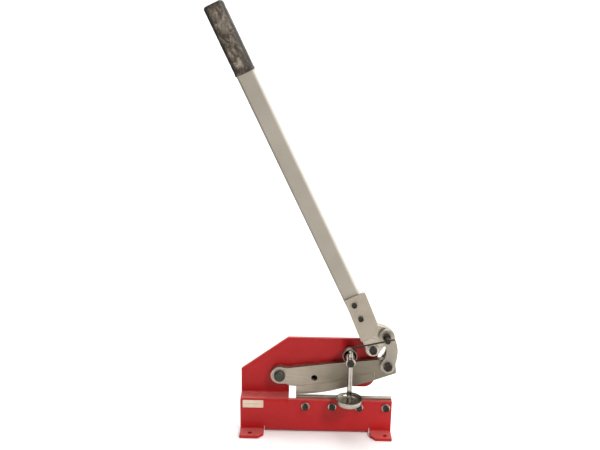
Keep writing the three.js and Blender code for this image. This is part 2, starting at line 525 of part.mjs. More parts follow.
// ------------------------------------------------------------------ hold-down
{
  const [x, z] = STUD;
  const stud = turnY(x, z, [[0, STUD_FRONT], [9, STUD_FRONT], [STUD_R, STUD_FRONT + 1], [STUD_R, 31.2], [6, 31.2], [6, 51], [0, 51]], 32);
  add('hold_down_stud', cut(stud, cylZ(x, ROD_Y, ROD_R + GAP, 150, 200, 24), cylY(x, z, 4 + GAP, STUD_FRONT - 2, ROD_Y, 18)), COL.chrome, 0.15, 1.0);
  add('hold_down_collar', turnY(x, z, [[13, -0.5], [14.6, -0.5], [15, 0], [15, 16], [14.4, 16.6], [STUD_R + GAP, 16.6], [STUD_R + GAP, 9], [13, 9], [13, -0.5]], 32), COL.dark, 0.5, 0.2);
  add('stud_washer', washer(x, z, 6 + GAP, 11.5, 38.8, 41, 28), COL.washer, 0.35, 0.9);
  add('stud_nut', nut(x, z, 17, 6 + GAP, 41.3, 49.5, 0.3), COL.dark, 0.45, 0.8);
  add('rod_lock_screw', join(hexY(x, z, 14, STUD_FRONT - 5.5, STUD_FRONT - GAP, 0.1), cylY(x, z, 4, STUD_FRONT - 1, ROD_Y - ROD_R - GAP - 0.1, 18)), COL.dark, 0.45, 0.8);
  add('hold_down_rod', turnZ(x, ROD_Y, [[0, ROD_Z0], [4, ROD_Z0], [ROD_R, ROD_Z0 + 1], [ROD_R, ROD_Z1 - 1], [4, ROD_Z1], [0, ROD_Z1]], 24), COL.chrome, 0.12, 1.0);
  add('hold_down_foot', turnZ(x, ROD_Y, [[0, CUP_LOW], [19, CUP_LOW], [24.5, 82.6], [CUP_R, 86.5], [CUP_R, CUP_RIM], [25.2, CUP_RIM], [24, 88.6], [19.5, 85.4], [9, 84.6], [ROD_R + GAP + 0.1, 84.6], [ROD_R + GAP + 0.1, 82.5], [0, 82.5]], 40), COL.cup, 0.35, 0.9);
}

export default group;
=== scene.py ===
import bpy, bmesh, math
import numpy as np
from mathutils import Vector, Matrix, Quaternion, noise


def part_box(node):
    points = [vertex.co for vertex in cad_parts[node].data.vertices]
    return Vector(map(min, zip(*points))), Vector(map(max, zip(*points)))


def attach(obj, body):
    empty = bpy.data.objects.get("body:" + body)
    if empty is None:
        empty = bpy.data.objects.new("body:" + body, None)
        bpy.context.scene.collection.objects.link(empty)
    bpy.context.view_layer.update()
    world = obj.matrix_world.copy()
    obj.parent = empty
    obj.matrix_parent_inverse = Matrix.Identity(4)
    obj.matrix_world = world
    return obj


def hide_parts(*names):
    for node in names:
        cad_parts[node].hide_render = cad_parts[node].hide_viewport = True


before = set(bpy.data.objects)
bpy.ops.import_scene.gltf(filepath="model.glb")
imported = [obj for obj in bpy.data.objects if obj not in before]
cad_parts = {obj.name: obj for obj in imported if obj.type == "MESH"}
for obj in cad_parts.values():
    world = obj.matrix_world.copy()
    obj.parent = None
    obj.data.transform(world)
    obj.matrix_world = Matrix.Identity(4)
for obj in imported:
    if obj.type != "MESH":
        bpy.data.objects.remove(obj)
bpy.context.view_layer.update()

MM = 0.001
OX, OY = 27.518, -13.0            # the assembly's offset in the row frame, in mm


def P(x, y, z):
    return Vector(((x + OX) * MM, (y + OY) * MM, z * MM))


# ------------------------------------------------------------------ materials
class Nodes:
    def __init__(self, name):
        self.mat = bpy.data.materials.new(name)
        self.mat.use_nodes = True
        self.t = self.mat.node_tree
        self.t.nodes.clear()
        self.out = self.t.nodes.new("ShaderNodeOutputMaterial")
        self.b = self.t.nodes.new("ShaderNodeBsdfPrincipled")
        self.t.links.new(self.b.outputs["BSDF"], self.out.inputs["Surface"])
        self.co = self.t.nodes.new("ShaderNodeTexCoord").outputs["Object"]

    def n(self, kind, **kw):
        node = self.t.nodes.new(kind)
        for k, v in kw.items():
            setattr(node, k, v)
        return node

    def link(self, a, b):
        self.t.links.new(a, b)

    def scaled(self, sx, sy, sz, rot=(0, 0, 0), loc=(0, 0, 0)):
        m = self.n("ShaderNodeMapping")
        m.inputs["Scale"].default_value = (sx, sy, sz)
        m.inputs["Rotation"].default_value = rot
        m.inputs["Location"].default_value = loc
        self.link(self.co, m.inputs["Vector"])
        return m.outputs["Vector"]

    def turned(self, rot):
        m = self.n("ShaderNodeMapping")
        m.inputs["Rotation"].default_value = rot
        self.link(self.co, m.inputs["Vector"])
        return m.outputs["Vector"]

    def stretch(self, vec, sx, sy, sz):
        m = self.n("ShaderNodeMapping")
        m.inputs["Scale"].default_value = (sx, sy, sz)
        self.link(vec, m.inputs["Vector"])
        return m.outputs["Vector"]

    def noise(self, scale, detail=4.0, rough=0.55, vec=None, distortion=0.0):
        x = self.n("ShaderNodeTexNoise")
        x.inputs["Scale"].default_value = scale
        x.inputs["Detail"].default_value = detail
        x.inputs["Roughness"].default_value = rough
        x.inputs["Distortion"].default_value = distortion
        self.link(vec if vec is not None else self.co, x.inputs["Vector"])
        return x.outputs["Fac"]

    def voronoi(self, scale, vec=None, feature="F1"):
        x = self.n("ShaderNodeTexVoronoi", feature=feature)
        x.inputs["Scale"].default_value = scale
        self.link(vec if vec is not None else self.co, x.inputs["Vector"])
        return x.outputs["Distance"]

    def ramp(self, fac, stops, interp="LINEAR"):
        r = self.n("ShaderNodeValToRGB")
        r.color_ramp.interpolation = interp
        e = r.color_ramp.elements
        while len(e) > 1:
            e.remove(e[-1])
        e[0].position, e[0].color = stops[0][0], (*stops[0][1], 1) if len(stops[0][1]) == 3 else stops[0][1]
        for p, c in stops[1:]:
            x = e.new(p)
            x.color = (*c, 1)
        self.link(fac, r.inputs["Fac"])
        return r.outputs["Color"]

    def grey(self, fac, lo, hi, p0=0.35, p1=0.65):
        m = self.n("ShaderNodeMapRange")
        m.inputs["From Min"].default_value = p0
        m.inputs["From Max"].default_value = p1
        m.inputs["To Min"].default_value = lo
        m.inputs["To Max"].default_value = hi
        self.link(fac, m.inputs["Value"])
        return m.outputs["Result"]

    def mix(self, fac, a, b, blend="MIX"):
        m = self.n("ShaderNodeMix", data_type="RGBA", blend_type=blend)
        for sock, v in ((m.inputs[0], fac), (m.inputs[6], a), (m.inputs[7], b)):
            if isinstance(v, (int, float)):
                sock.default_value = v
            elif isinstance(v, (tuple, list)):
                sock.default_value = (*v, 1) if len(v) == 3 else v
            else:
                self.link(v, sock)
        return m.outputs[2]

    def math(self, op, a, b=0.5, clamp=False):
        m = self.n("ShaderNodeMath", operation=op, use_clamp=clamp)
        for sock, v in ((m.inputs[0], a), (m.inputs[1], b)):
            if isinstance(v, (int, float)):
                sock.default_value = v
            else:
                self.link(v, sock)
        return m.outputs[0]

    def edge(self, lo=0.52, hi=0.6):
        g = self.n("ShaderNodeNewGeometry")
        return self.grey(g.outputs["Pointiness"], 0.0, 1.0, lo, hi)

    def bump(self, height, strength, distance, normal=None):
        b = self.n("ShaderNodeBump")
        b.inputs["Strength"].default_value = strength
        b.inputs["Distance"].default_value = distance
        self.link(height, b.inputs["Height"])
        if normal is not None:
            self.link(normal, b.inputs["Normal"])
        return b.outputs["Normal"]

    def set(self, **kw):
        for k, v in kw.items():
            s = self.b.inputs[k.replace("_", " ")]
            if isinstance(v, (int, float)):
                s.default_value = v
            elif isinstance(v, (tuple, list)):
                s.default_value = (*v, 1) if len(v) == 3 else v
            else:
                self.link(v, s)
        return self.mat


def red_enamel(edge=False):
    m = Nodes("red_enamel_edge" if edge else "red_enamel")
    cloud = m.noise(9, 3, 0.5)
    fine = m.noise(260, 3, 0.6)
    dust_and_sheen_noise = m.noise(70, 5, 0.65)
    if edge:
        # thin paint on the rounded edges, rubbed through in a few places
        col = m.ramp(cloud, [(0.3, (0.36, 0.022, 0.021)), (0.7, (0.50, 0.045, 0.042))])
        chips = m.noise(190, 5, 0.7)
        col = m.mix(m.grey(chips, 0, 0.85, 0.66, 0.72), col, (0.16, 0.10, 0.08))
    else:
        col = m.ramp(cloud, [(0.3, (0.335, 0.0065, 0.0075)), (0.55, (0.385, 0.0085, 0.0095)), (0.75, (0.43, 0.012, 0.0125))])
        col = m.mix(m.grey(dust_and_sheen_noise, 0, 0.35, 0.55, 0.78), col, (0.45, 0.022, 0.020))
        scratch = m.noise(1.0, 4, 0.75, m.scaled(30, 30, 900, (0.0, 0.6, 0.0)))
        col = m.mix(m.grey(scratch, 0, 0.22, 0.70, 0.78), col, (0.55, 0.08, 0.065))
    # pale pink tint on the surfaces that face up: partly filings and dust, partly a painted sheen that lightens the
    # tops where the light falls on them
    up = m.n("ShaderNodeSeparateXYZ")
    m.link(m.n("ShaderNodeNewGeometry").outputs["Normal"], up.inputs[0])
    dust_and_top_sheen = m.math("MULTIPLY", m.grey(up.outputs["Z"], 0, 1, 0.80, 0.97), m.grey(dust_and_sheen_noise, 0.30, 0.50, 0.3, 0.7))
    col = m.mix(dust_and_top_sheen, col, (0.56, 0.19, 0.17))
    # the recess behind the round-bar hole is coloured near-black: painted shade, so that the hole reads dark
    sub = m.n("ShaderNodeVectorMath", operation="SUBTRACT")
    m.link(m.co, sub.inputs[0])
    sub.inputs[1].default_value = P(-4.4, 33, 117.8)
    sep = m.n("ShaderNodeSeparateXYZ")
    m.link(sub.outputs[0], sep.inputs[0])
    rad = m.math("SQRT", m.math("ADD", m.math("MULTIPLY", sep.outputs["X"], sep.outputs["X"]), m.math("MULTIPLY", sep.outputs["Z"], sep.outputs["Z"])), 0)
    painted_recess_shade = m.math("MULTIPLY", m.math("LESS_THAN", rad, 0.0088), m.math("LESS_THAN", m.math("ABSOLUTE", sep.outputs["Y"], 0), 0.0030))
    col = m.mix(painted_recess_shade, col, (0.016, 0.012, 0.008))
    rough = m.grey(m.noise(40, 5, 0.6), 0.30, 0.46, 0.3, 0.7)
    peel = m.bump(m.noise(420, 2, 0.5), 0.22, 0.0004)
    peel = m.bump(m.noise(24, 2, 0.5), 0.12, 0.002, peel)
    peel = m.bump(fine, 0.05, 0.0002, peel)
    return m.set(Base_Color=col, Roughness=rough, Normal=peel, Specular_IOR_Level=0.22)


def ground(name, dark, light, rot=(0, 0, 0), along="x", rough=(0.28, 0.42), streak=0.5, metallic=0.92, seed=0.0, painted_shade=None):
    """Ground plate: long fine grain in one direction, faint oily clouds, brighter worn edges, and, where asked, a
    painted shade that darkens it towards +X.
    """
    m = Nodes(name)
    v = m.turned(rot)
    s = (14, 60, 900) if along == "x" else (900, 60, 14)
    gv = m.stretch(v, *s)
    grain = m.noise(1.0, 5, 0.65, gv)
    coarse = m.noise(1.0, 3, 0.6, m.stretch(v, *(tuple(c / 5 for c in s))))
    cloud = m.noise(22 + seed, 4, 0.6)
    spots = m.noise(150 + seed, 5, 0.7)
    mixd = tuple((a + b) / 2 for a, b in zip(dark, light))
    col = m.ramp(grain, [(0.28, dark), (0.5, mixd), (0.74, light)])
    col = m.mix(m.grey(coarse, 0.0, streak, 0.4, 0.68), col, light)
    col = m.mix(m.grey(cloud, 0.0, 0.38, 0.45, 0.72), col, dark)
    col = m.mix(m.grey(spots, 0.0, 0.5, 0.66, 0.78), col, tuple(c * 0.55 for c in dark))
    if painted_shade:
        # painted shade: the bar gets darker towards +X, in place of the shadow that falls on its right-hand part
        sep = m.n("ShaderNodeSeparateXYZ")
        m.link(m.co, sep.inputs[0])
        wob = m.math("ADD", sep.outputs["X"], m.math("MULTIPLY", m.math("SUBTRACT", cloud, 0.5), 0.05))
        col = m.mix(m.grey(wob, 0.0, painted_shade[2], painted_shade[0], painted_shade[1]), col, painted_shade[3])
    r = m.math("ADD", m.grey(grain, rough[0], rough[1], 0.3, 0.7), m.grey(cloud, 0.0, 0.08, 0.4, 0.7))
    nb = m.bump(grain, 0.25, 0.00012)
    nb = m.bump(coarse, 0.18, 0.0003, nb)
    return m.set(Base_Color=col, Metallic=metallic, Roughness=r, Normal=nb)


def lathed(name, dark, light, centre, axis="y", rough=(0.2, 0.35), rings=900, metallic=1.0):
    """Turned metal: fine rings round the given axis."""
    m = Nodes(name)
    sub = m.n("ShaderNodeVectorMath", operation="SUBTRACT")
    m.link(m.co, sub.inputs[0])
    sub.inputs[1].default_value = centre
    sep = m.n("ShaderNodeSeparateXYZ")
    m.link(sub.outputs[0], sep.inputs[0])
    a, b, c = {"y": ("X", "Z", "Y"), "z": ("X", "Y", "Z")}[axis]
    r2 = m.math("ADD", m.math("MULTIPLY", sep.outputs[a], sep.outputs[a]), m.math("MULTIPLY", sep.outputs[b], sep.outputs[b]))
    rad = m.math("SQRT", r2, 0)
    comb = m.n("ShaderNodeCombineXYZ")
    m.link(m.math("MULTIPLY", rad, rings), comb.inputs[0])
    m.link(m.math("MULTIPLY", sep.outputs[c], rings), comb.inputs[1])
    ring = m.noise(1.0, 4, 0.6, comb.outputs[0])
    cloud = m.noise(60, 4, 0.6)
    col = m.ramp(ring, [(0.3, dark), (0.7, light)])
    col = m.mix(m.grey(cloud, 0, 0.35, 0.5, 0.75), col, tuple(x * 0.75 for x in dark))
    col = m.mix(m.math("MULTIPLY", m.edge(0.52, 0.6), 0.5), col, tuple(min(1, x * 1.3) for x in light))
    r = m.math("ADD", m.grey(ring, rough[0], rough[1], 0.3, 0.7), m.grey(cloud, 0.0, 0.06, 0.4, 0.7))
    return m.set(Base_Color=col, Metallic=metallic, Roughness=r, Normal=m.bump(ring, 0.15, 0.0001))


def blackened(name="black_oxide", base=(0.014, 0.011, 0.008), worn=(0.12, 0.098, 0.078)):
    m = Nodes(name)
    cloud = m.noise(120, 5, 0.65)
    pits = m.noise(700, 4, 0.7)
    rub = m.noise(260, 5, 0.7)
    col = m.ramp(cloud, [(0.35, base), (0.7, tuple(c * 2.2 for c in base))])
    col = m.mix(m.grey(rub, 0, 0.55, 0.60, 0.74), col, worn)
    col = m.mix(m.math("MULTIPLY", m.edge(0.53, 0.62), m.grey(pits, 0.25, 0.9, 0.35, 0.6)), col, worn)
    r = m.grey(pits, 0.22, 0.40, 0.3, 0.7)
    return m.set(Base_Color=col, Metallic=0.55, Roughness=r, Normal=m.bump(pits, 0.25, 0.00015), Specular_IOR_Level=0.35)


def zinc(name="zinc_plate"):
    m = Nodes(name)
    cloud = m.noise(90, 4, 0.6)
    fine = m.noise(900, 4, 0.7)
    col = m.ramp(cloud, [(0.3, (0.42, 0.38, 0.33)), (0.7, (0.60, 0.56, 0.50))])
    col = m.mix(m.grey(fine, 0, 0.5, 0.6, 0.75), col, (0.28, 0.25, 0.21))
    return m.set(Base_Color=col, Metallic=0.95, Roughness=m.grey(fine, 0.28, 0.42), Normal=m.bump(fine, 0.15, 0.0001))


def chrome(name, centre):
    """Bright drawn bar: fine lines along it, oily smears, a few turned marks, and dark strips along it that are painted
    reflections.
    """
    m = Nodes(name)
    streak = m.noise(1.0, 4, 0.6, m.scaled(1400, 1400, 60))
    smear = m.noise(45, 4, 0.6)
    marks = m.noise(1.0, 3, 0.6, m.scaled(20, 20, 900))
    col = m.ramp(smear, [(0.3, (0.36, 0.325, 0.285)), (0.7, (0.52, 0.485, 0.44))])
    col = m.mix(m.grey(marks, 0, 0.35, 0.55, 0.75), col, (0.26, 0.23, 0.195))
    # painted reflection: two dark strips that run the length of the bar at fixed places across it, in place of the dark
    # reflections on a bright bar
    sub = m.n("ShaderNodeVectorMath", operation="SUBTRACT")
    m.link(m.co, sub.inputs[0])
    sub.inputs[1].default_value = centre
    sep = m.n("ShaderNodeSeparateXYZ")
    m.link(sub.outputs[0], sep.inputs[0])
    x = m.math("ADD", sep.outputs["X"], m.math("MULTIPLY", m.math("SUBTRACT", smear, 0.5), 0.0006))
    for at, width, depth in ((-0.0046, 0.0018, 0.85), (0.0015, 0.0009, 0.80)):
        far = m.math("ABSOLUTE", m.math("SUBTRACT", x, at), 0)
        col = m.mix(m.grey(far, depth, 0, width * 0.55, width), col, (0.060, 0.050, 0.042))
    r = m.math("ADD", m.grey(streak, 0.08, 0.16, 0.3, 0.7), m.grey(smear, 0.0, 0.08, 0.45, 0.75))
    return m.set(Base_Color=col, Metallic=1.0, Roughness=r, Normal=m.bump(streak, 0.05, 0.0001))


def tube_enamel():
    m = Nodes("tube_enamel")
    cloud = m.noise(12, 3, 0.5)
    fine = m.noise(330, 4, 0.65)
    specks = m.noise(1100, 3, 0.6)
    col = m.ramp(cloud, [(0.3, (0.300, 0.268, 0.220)), (0.7, (0.350, 0.316, 0.264))])
    col = m.mix(m.grey(fine, 0, 0.22, 0.5, 0.75), col, (0.43, 0.39, 0.32))
    col = m.mix(m.grey(specks, 0, 0.25, 0.62, 0.75), col, (0.26, 0.225, 0.175))
    scuff = m.noise(1.0, 5, 0.7, m.stretch(m.turned((0, math.radians(-25.75), 0)), 420, 90, 20))
    col = m.mix(m.grey(scuff, 0, 0.35, 0.66, 0.8), col, (0.22, 0.19, 0.15))
    u, a = along_handle(m)
    wob = m.math("ADD", u, m.math("MULTIPLY", m.math("SUBTRACT", scuff, 0.5), 0.002))
    # painted shade: a dark strip along the tube's left edge; painted highlight: a light strip along its right edge
    col = m.mix(m.grey(wob, 0.55, 0, -0.0165, -0.0150), col, (0.12, 0.115, 0.095))
    col = m.mix(m.grey(wob, 0, 0.75, 0.0140, 0.0165), col, (0.46, 0.44, 0.40))
    nb = m.bump(m.noise(500, 2, 0.5), 0.2, 0.0003)
    return m.set(Base_Color=col, Roughness=m.grey(fine, 0.36, 0.5, 0.3, 0.7), Metallic=0.0, Normal=nb, Specular_IOR_Level=0.4)


def along_handle(m):
    """Coordinates in the handle's own axes, in metres: across the front face, and along the tube from its lower end."""
    c, sn = math.cos(math.radians(25.75)), math.sin(math.radians(25.75))
    sub = m.n("ShaderNodeVectorMath", operation="SUBTRACT")
    m.link(m.co, sub.inputs[0])
    sub.inputs[1].default_value = P(93.3, 23.7, 244.9)
    out = []
    for axis in ((c, 0, sn), (-sn, 0, c)):
        d = m.n("ShaderNodeVectorMath", operation="DOT_PRODUCT")
        m.link(sub.outputs[0], d.inputs[0])
        d.inputs[1].default_value = axis
        out.append(d.outputs["Value"])
    return out


def grip_vinyl():
    """Dipped vinyl with polished, blotched patches whose light tones are partly painted sheen; painted shade darkens it
    along its side corners, and it is darker and duller near both ends.
    """
    m = Nodes("grip_vinyl")
    u, a = along_handle(m)
    v = m.turned((0, math.radians(25.75), 0))
    blotch_and_sheen = m.noise(1.0, 4, 0.60, m.stretch(v, 90, 90, 58), 0.9)
    small_blotch_and_sheen = m.noise(1.0, 4, 0.65, m.stretch(v, 330, 330, 240), 0.4)
    fine = m.noise(620, 4, 0.65)
    leather = m.voronoi(420)
    # light tones of the blotches: partly the vinyl's own mottle, partly a painted sheen in place of glossy highlights
    col = m.ramp(blotch_and_sheen, [(0.34, (0.028, 0.021, 0.015)), (0.46, (0.060, 0.048, 0.036)), (0.56, (0.135, 0.108, 0.082)), (0.67, (0.32, 0.27, 0.21))])
    col = m.mix(m.grey(small_blotch_and_sheen, 0, 0.65, 0.50, 0.72), col, (0.20, 0.165, 0.13))
    col = m.mix(m.grey(small_blotch_and_sheen, 0.5, 0, 0.30, 0.45), col, (0.030, 0.024, 0.018))
    # painted shade along the grip's side corners (side); the two ends are made darker as well (cap, low)
    side = m.grey(m.math("ABSOLUTE", u, 0), 0, 1, 0.0104, 0.0168)
    cap = m.grey(a, 0, 1, 0.6725, 0.6815)
    low = m.grey(a, 1, 0, 0.550, 0.557)
    dark = m.math("MAXIMUM", m.math("MAXIMUM", side, cap), m.math("MULTIPLY", low, 0.4), True)
    col = m.mix(m.math("MULTIPLY", dark, 0.88), col, (0.020, 0.015, 0.011))
    col = m.mix(m.grey(fine, 0, 0.3, 0.6, 0.75), col, (0.05, 0.042, 0.034))
    r = m.math("ADD", m.grey(blotch_and_sheen, 0.46, 0.33, 0.35, 0.65), m.math("MULTIPLY", dark, 0.14))
    nb = m.bump(blotch_and_sheen, 0.5, 0.0014)
    nb = m.bump(leather, 0.25, 0.0005, nb)
    nb = m.bump(fine, 0.15, 0.0002, nb)
    return m.set(Base_Color=col, Roughness=r, Normal=nb, Specular_IOR_Level=0.35)


def sticker():
    m = Nodes("sticker")
    sep = m.n("ShaderNodeSeparateXYZ")
    m.link(m.co, sep.inputs[0])
    lo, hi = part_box("front_label")
    # a thin printed rule inside the border
    def edge_dist(out, a, b):
        d1 = m.math("SUBTRACT", out, a)
        d2 = m.math("SUBTRACT", b, out)
        return m.math("MINIMUM", d1, d2)
    d = m.math("MINIMUM", edge_dist(sep.outputs["X"], lo.x, hi.x), edge_dist(sep.outputs["Z"], lo.z, hi.z))
    band = m.math("LESS_THAN", m.math("ABSOLUTE", m.math("SUBTRACT", d, 0.0019), 0), 0.00035)
    mid = m.math("LESS_THAN", m.math("ABSOLUTE", m.math("SUBTRACT", sep.outputs["Z"], (lo.z + hi.z) / 2), 0), 0.0011)
    inside = m.math("GREATER_THAN", edge_dist(sep.outputs["X"], lo.x, hi.x), 0.0055)
    stain = m.noise(90, 5, 0.65)
    col = m.ramp(stain, [(0.35, (0.60, 0.45, 0.34)), (0.7, (0.68, 0.55, 0.43))])
    col = m.mix(m.math("MULTIPLY", band, 0.55), col, (0.45, 0.33, 0.22))
    col = m.mix(m.math("MULTIPLY", m.math("MULTIPLY", mid, inside), 0.6), col, (0.40, 0.30, 0.22))
    return m.set(Base_Color=col, Roughness=m.grey(stain, 0.35, 0.5), Normal=m.bump(m.noise(400, 3, 0.5), 0.1, 0.0002))


M = {}
M["red"] = red_enamel()
M["red_edge"] = red_enamel(True)
# the lever steel carries a painted shade that darkens it towards +X
M["lever"] = ground("lever_steel", (0.290, 0.246, 0.194), (0.405, 0.352, 0.286), (0, math.radians(-7), 0), "x", (0.36, 0.48), 0.35,
                    painted_shade=(-0.02, 0.09, 0.72, (0.135, 0.118, 0.085)))
M["lever_edge"] = ground("lever_steel_edge", (0.370, 0.334, 0.290), (0.546, 0.502, 0.440), (0, math.radians(-7), 0), "x", (0.24, 0.36), 0.5)
M["cam"] = ground("cam_steel", (0.30, 0.26, 0.205), (0.52, 0.465, 0.38), (0, math.radians(-24), 0), "x", (0.30, 0.44), 0.8, seed=3)
M["cam_edge"] = ground("cam_steel_edge", (0.352, 0.317, 0.273), (0.528, 0.484, 0.431), (0, math.radians(-24), 0), "x", (0.22, 0.34), 0.5, seed=3)
M["cheek"] = ground("cheek_steel", (0.317, 0.275, 0.220), (0.405, 0.356, 0.295), (0, math.radians(-25.75), 0), "z", (0.38, 0.5), 0.3, seed=5)
M["cheek_edge"] = ground("cheek_steel_edge", (0.405, 0.370, 0.317), (0.581, 0.537, 0.475), (0, math.radians(-25.75), 0), "z", (0.26, 0.36), 0.5, seed=5)
M["link"] = ground("link_steel", (0.262, 0.231, 0.189), (0.360, 0.324, 0.273), (0, 0, 0), "z", (0.34, 0.46), 0.4, seed=9)
M["link_edge"] = ground("link_steel_edge", (0.352, 0.317, 0.273), (0.510, 0.466, 0.414), (0, 0, 0), "z", (0.26, 0.36), 0.5, seed=9)
M["blade"] = ground("blade_steel", (0.28, 0.25, 0.205), (0.42, 0.385, 0.325), (0, 0, 0), "x", (0.24, 0.36), 0.6, seed=7)
M["blade_edge"] = ground("blade_steel_edge", (0.5, 0.46, 0.41), (0.72, 0.68, 0.62), (0, 0, 0), "x", (0.18, 0.28), 0.6, seed=7)
M["black"] = blackened()
M["zinc"] = zinc()
M["tube"] = tube_enamel()
M["grip"] = grip_vinyl()
M["label"] = sticker()
M["chrome"] = chrome("bright_chrome", P(67, -22, 100))
M["collar"] = lathed("collar_steel", (0.13, 0.10, 0.075), (0.27, 0.22, 0.175), P(67, 0, 176.5), "y", (0.25, 0.4))
# painted shade: near-black colour for the inside of the collar's cup
M["collar_dark"] = blackened("collar_recess_painted_shade", (0.010, 0.009, 0.008), (0.05, 0.045, 0.04))
M["pad"] = lathed("pad_steel", (0.25, 0.24, 0.20), (0.46, 0.435, 0.38), P(67, -22, 84), "z", (0.24, 0.36), 1500)
M["pad_rim"] = lathed("pad_rim_steel", (0.27, 0.245, 0.205), (0.46, 0.42, 0.365), P(67, -22, 84), "z", (0.22, 0.34))
M["pin"] = lathed("pin_steel", (0.042, 0.042, 0.037), (0.085, 0.083, 0.073), P(-76.8, 0, 121.6), "y", (0.32, 0.46), 700)
M["bronze"] = lathed("bush_bronze", (0.40, 0.28, 0.11), (0.62, 0.47, 0.22), P(-76.8, 0, 121.6), "y")

MADE = {}


# ------------------------------------------------------------------ mesh tools
def sharp_by_angle(bm, deg):
    lim = math.radians(deg)
    for f in bm.faces:
        f.smooth = True
    for e in bm.edges:
        e.smooth = not (len(e.link_faces) == 2 and e.calc_face_angle(0.0) > lim)


def finish_piece(name, bm, mats, body, nodes, deg=34, weighted=False):
    bmesh.ops.recalc_face_normals(bm, faces=bm.faces)
    sharp_by_angle(bm, deg)
    me = bpy.data.meshes.new(name)
    bm.to_mesh(me)
    bm.free()
    for m in mats if isinstance(mats, (list, tuple)) else [mats]:
        me.materials.append(m)
    ob = bpy.data.objects.new(name, me)
    bpy.context.scene.collection.objects.link(ob)
    if weighted:
        wn = ob.modifiers.new("face_weighted_normals", "WEIGHTED_NORMAL")
        wn.mode = "FACE_AREA"
        wn.weight = 50
        wn.keep_sharp = False
    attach(ob, body)
    if nodes:
        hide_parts(*nodes)
    MADE[name] = ob
    return ob


def from_cad(node, body, mat, bevel=0.6, segments=3, angle=32, edge_mat=None, name=None, dissolve=True):
    """A bevelled, welded copy of a CAD plate; its rounded edges take a worn finish of their own."""
    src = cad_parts[node]
    bm = bmesh.new()
    bm.from_mesh(src.data)
    bmesh.ops.remove_doubles(bm, verts=bm.verts, dist=2e-6)
    if dissolve:
        bmesh.ops.dissolve_limit(bm, angle_limit=math.radians(0.6), verts=bm.verts, edges=bm.edges, use_dissolve_boundaries=False)
    me = bpy.data.meshes.new(node + "_w")
    bm.to_mesh(me)
    bm.free()
    tmp = bpy.data.objects.new(node + "_w", me)
    bpy.context.scene.collection.objects.link(tmp)
    if bevel:
        b = tmp.modifiers.new("bevel", "BEVEL")
        b.width = bevel * MM
        b.segments = segments
        b.limit_method = "ANGLE"
        b.angle_limit = math.radians(angle)
        b.use_clamp_overlap = False
        b.miter_outer = "MITER_ARC"
        if edge_mat:
            me.materials.append(mat)
            me.materials.append(edge_mat)
            b.material = 1
    dg = bpy.context.evaluated_depsgraph_get()
    done = bpy.data.meshes.new_from_object(tmp.evaluated_get(dg))
    bpy.data.objects.remove(tmp)
    bm = bmesh.new()
    bm.from_mesh(done)
    bpy.data.meshes.remove(done)
    bmesh.ops.remove_doubles(bm, verts=bm.verts, dist=2e-6)
    return finish_piece(name or node + "_body", bm, [mat, edge_mat] if edge_mat else mat, body, [node], 75, True)


def grid_to_bm(bm, rings, closed_start=True, closed_end=True, mi=0):
    """rings: list of lists of Vector, all the same length, closed round. Ends are capped."""
    vr = [[bm.verts.new(p) for p in r] for r in rings]
    n = len(rings[0])
    for a, b in zip(vr[:-1], vr[1:]):
        for i in range(n):
            j = (i + 1) % n
            f = bm.faces.new((a[i], a[j], b[j], b[i]))
            f.material_index = mi
    for ring, closed, flip in ((vr[0], closed_start, True), (vr[-1], closed_end, False)):
        if closed:
            c = bm.verts.new(sum((v.co for v in ring), Vector()) / n)
            for i in range(n):
                j = (i + 1) % n
                f = bm.faces.new((c, ring[j], ring[i]) if flip else (c, ring[i], ring[j]))
                f.material_index = mi
    return vr


def basis(direction, spin=0.0):
    z = Vector(direction).normalized()
    x = Vector((1, 0, 0)) if abs(z.x) < 0.9 else Vector((0, 1, 0))
    x = (x - z * x.dot(z)).normalized()
    y = z.cross(x)
    c, s = math.cos(spin), math.sin(spin)
    return x * c + y * s, y * c - x * s, z


def ring_pts(origin, axes, r, z, n):
    x, y, w = axes
    out = []
    for i in range(n):
        t = 2 * math.pi * i / n
        rr = r(t) if callable(r) else r
        zz = z(t) if callable(z) else z
        out.append(origin + (x * (rr * math.cos(t)) + y * (rr * math.sin(t)) + w * zz) * MM)
    return out


def turned(bm, origin, direction, profile, n=64, spin=0.0, mi=0, closed=True):
    """Profile of (radius, height) in mm along direction. Radii may be functions of the angle."""
    ax = basis(direction, spin)
    prof = list(profile)
    cap0 = cap1 = closed
    return grid_to_bm(bm, [ring_pts(origin, ax, r, z, n) for r, z in prof], cap0, cap1, mi)


def ringbody(bm, origin, direction, profile, n=64, mi=0):
    """Closed ring section, such as a washer: the profile closes on itself."""
    ax = basis(direction)
    vr = [[bm.verts.new(p) for p in ring_pts(origin, ax, r, z, n)] for r, z in profile]
    vr.append(vr[0])
    for k, (a, b) in enumerate(zip(vr[:-1], vr[1:])):
        for i in range(n):
            j = (i + 1) % n
            f = bm.faces.new((a[i], a[j], b[j], b[i]))
            f.material_index = mi[k] if isinstance(mi, (list, tuple)) else mi


def hex_r(af):
    a = af / 2
    return lambda t: a / math.cos(((t) % (math.pi / 3)) - math.pi / 6)


def hex_profile(af, h, both=False, recess=0.25):
    """Hexagon with the turned chamfer that leaves curved arcs on its flats."""
    R = hex_r(af)
    r0 = af / 2 * 0.955
    k = math.tan(math.radians(28))
    def side_top(t):
        return h - max(0.0, R(t) - r0) * k
    def side_low(t):
        return max(0.0, R(t) - r0) * k if both else 0.0
    prof = []
    if both:
        prof += [(r0 * 0.999, 0.0), (R, side_low)]
    else:
        prof += [(lambda t: R(t) - 0.25, 0.0), (R, 0.25)]
    prof += [(R, side_top), (r0, h), (r0 * 0.93, h - 0.02)]
    return prof, r0


